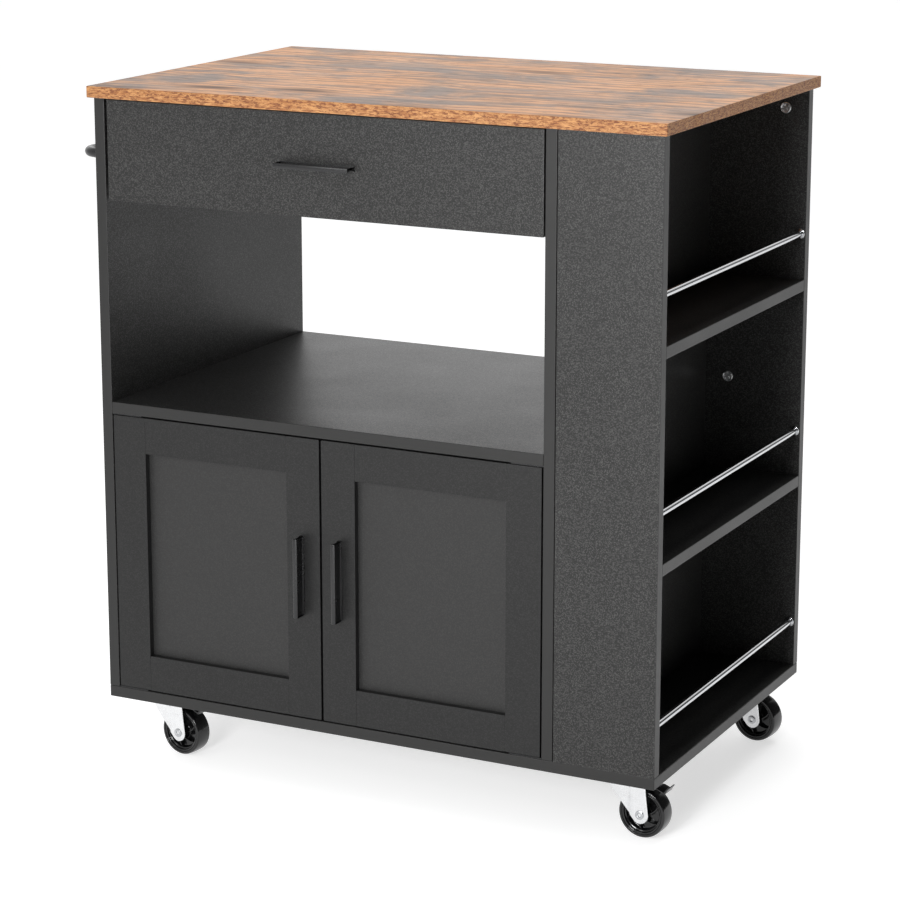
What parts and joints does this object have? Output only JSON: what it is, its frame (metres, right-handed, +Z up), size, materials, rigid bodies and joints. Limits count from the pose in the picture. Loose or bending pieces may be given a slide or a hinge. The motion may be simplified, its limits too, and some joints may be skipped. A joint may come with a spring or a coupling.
{
  "type": "kitchen island cart",
  "caption": "Rolling kitchen island with a wood-look top, black board body, drawer, open bay, two-door cabinet, open side rack with rails, and a towel bar.",
  "frame": {"origin": "on the floor, below the middle of the whole cart's box, towel bar and handles included", "axes": "+Z up; +X from the towel bar side to the rack side; -Y is the front with the drawer and doors"},
  "size_m": [0.8536, 0.537, 0.901],
  "materials": {
    "top_laminate": "rustic brown wood-grain laminate, satin",
    "black_laminate": "matt black laminate with a fine pebbled grain",
    "door_laminate": "matt black foil, smooth",
    "drawer_box_board": "matt black board",
    "black_metal": "satin black powder coat",
    "chrome": "polished chrome",
    "hardware_steel": "zinc-plated sheet steel",
    "zinc_plated_steel": "bright zinc-plated pressed steel",
    "black_wheel_plastic": "glossy moulded black plastic"
  },
  "bodies": {
    "cart_body": {"top_board": "top_laminate", "bottom_panel": "black_laminate", "left_side_panel": "black_laminate", "partition_panel": "black_laminate", "middle_shelf": "black_laminate", "cabinet_back_panel": "black_laminate", "drawer_bay_back_rail": "black_laminate", "cabinet_inner_shelf": "black_laminate", "rack_front_panel": "black_laminate", "rack_rear_panel": "black_laminate", "rack_shelf_middle": "black_laminate", "rack_shelf_upper": "black_laminate", "rack_rail_lower": "chrome", "rack_rail_middle": "chrome", "rack_rail_upper": "chrome", "towel_bar": "black_metal", "drawer_runner_left": "hardware_steel", "drawer_runner_right": "hardware_steel", "left_door_upper_pivot": "hardware_steel", "left_door_lower_pivot": "hardware_steel", "right_door_upper_pivot": "hardware_steel", "right_door_lower_pivot": "hardware_steel", "caster_plate_front_left": "zinc_plated_steel", "caster_plate_front_right": "zinc_plated_steel", "caster_plate_rear_left": "zinc_plated_steel", "caster_plate_rear_right": "zinc_plated_steel"},
    "drawer": {"drawer_front": "black_laminate", "drawer_side_left": "drawer_box_board", "drawer_side_right": "drawer_box_board", "drawer_back": "drawer_box_board", "drawer_bottom": "drawer_box_board", "drawer_handle": "black_metal", "drawer_slide_left": "hardware_steel", "drawer_slide_right": "hardware_steel"},
    "left_door": {"left_door_hinge_stile": "door_laminate", "left_door_slab": "door_laminate", "left_door_meeting_stile": "door_laminate", "left_door_top_rail": "door_laminate", "left_door_bottom_rail": "door_laminate", "left_door_handle": "black_metal", "left_door_upper_bush": "hardware_steel", "left_door_lower_bush": "hardware_steel"},
    "right_door": {"right_door_hinge_stile": "door_laminate", "right_door_slab": "door_laminate", "right_door_meeting_stile": "door_laminate", "right_door_top_rail": "door_laminate", "right_door_bottom_rail": "door_laminate", "right_door_handle": "black_metal", "right_door_upper_bush": "hardware_steel", "right_door_lower_bush": "hardware_steel"},
    "swivel_front_left": {"caster_fork_front_left": "zinc_plated_steel"},
    "wheel_front_left": {"caster_wheel_front_left": "black_wheel_plastic"},
    "brake_front_left": {"caster_brake_front_left": "black_wheel_plastic"},
    "swivel_front_right": {"caster_fork_front_right": "zinc_plated_steel"},
    "wheel_front_right": {"caster_wheel_front_right": "black_wheel_plastic"},
    "brake_front_right": {"caster_brake_front_right": "black_wheel_plastic"},
    "swivel_rear_left": {"caster_fork_rear_left": "zinc_plated_steel"},
    "wheel_rear_left": {"caster_wheel_rear_left": "black_wheel_plastic"},
    "swivel_rear_right": {"caster_fork_rear_right": "zinc_plated_steel"},
    "wheel_rear_right": {"caster_wheel_rear_right": "black_wheel_plastic"}
  },
  "joints": [
    {"name": "drawer_slide", "type": "slide", "parent": "cart_body", "child": "drawer", "axis": [0, -1, 0], "range_m": [0, 0.28]},
    {"name": "left_door_hinge", "type": "hinge", "parent": "cart_body", "child": "left_door", "pos_m": [-0.34425, -0.244, 0.285], "axis": [0, 0, -1], "range_deg": [0, 100]},
    {"name": "right_door_hinge", "type": "hinge", "parent": "cart_body", "child": "right_door", "pos_m": [0.26075, -0.244, 0.285], "axis": [0, 0, 1], "range_deg": [0, 100]},
    {"name": "swivel_front_left", "type": "hinge", "parent": "cart_body", "child": "swivel_front_left", "pos_m": [-0.30725, -0.1935, 0.073], "axis": [0, 0, 1], "continuous": true},
    {"name": "wheel_spin_front_left", "type": "hinge", "parent": "swivel_front_left", "child": "wheel_front_left", "pos_m": [-0.28058, -0.19772, 0.032], "axis": [0.1564, 0.9877, 0], "continuous": true},
    {"name": "brake_front_left", "type": "hinge", "parent": "swivel_front_left", "child": "brake_front_left", "pos_m": [-0.29342, -0.19569, 0.06725], "axis": [0.1564, 0.9877, 0], "range_deg": [0, 8]},
    {"name": "swivel_front_right", "type": "hinge", "parent": "cart_body", "child": "swivel_front_right", "pos_m": [0.36075, -0.1935, 0.073], "axis": [0, 0, 1], "continuous": true},
    {"name": "wheel_spin_front_right", "type": "hinge", "parent": "swivel_front_right", "child": "wheel_front_right", "pos_m": [0.38771, -0.19491, 0.032], "axis": [0.0523, 0.9986, 0], "continuous": true},
    {"name": "brake_front_right", "type": "hinge", "parent": "swivel_front_right", "child": "brake_front_right", "pos_m": [0.37473, -0.19423, 0.06725], "axis": [0.0523, 0.9986, 0], "range_deg": [0, 8]},
    {"name": "swivel_rear_left", "type": "hinge", "parent": "cart_body", "child": "swivel_rear_left", "pos_m": [-0.30725, 0.2015, 0.073], "axis": [0, 0, 1], "continuous": true},
    {"name": "wheel_spin_rear_left", "type": "hinge", "parent": "swivel_rear_left", "child": "wheel_rear_left", "pos_m": [-0.2804, 0.19868, 0.032], "axis": [0.1045, 0.9945, 0], "continuous": true},
    {"name": "swivel_rear_right", "type": "hinge", "parent": "cart_body", "child": "swivel_rear_right", "pos_m": [0.36075, 0.2015, 0.073], "axis": [0, 0, 1], "continuous": true},
    {"name": "wheel_spin_rear_right", "type": "hinge", "parent": "swivel_rear_right", "child": "wheel_rear_right", "pos_m": [0.38749, 0.19774, 0.032], "axis": [0.1392, 0.9903, 0], "continuous": true}
  ]
}
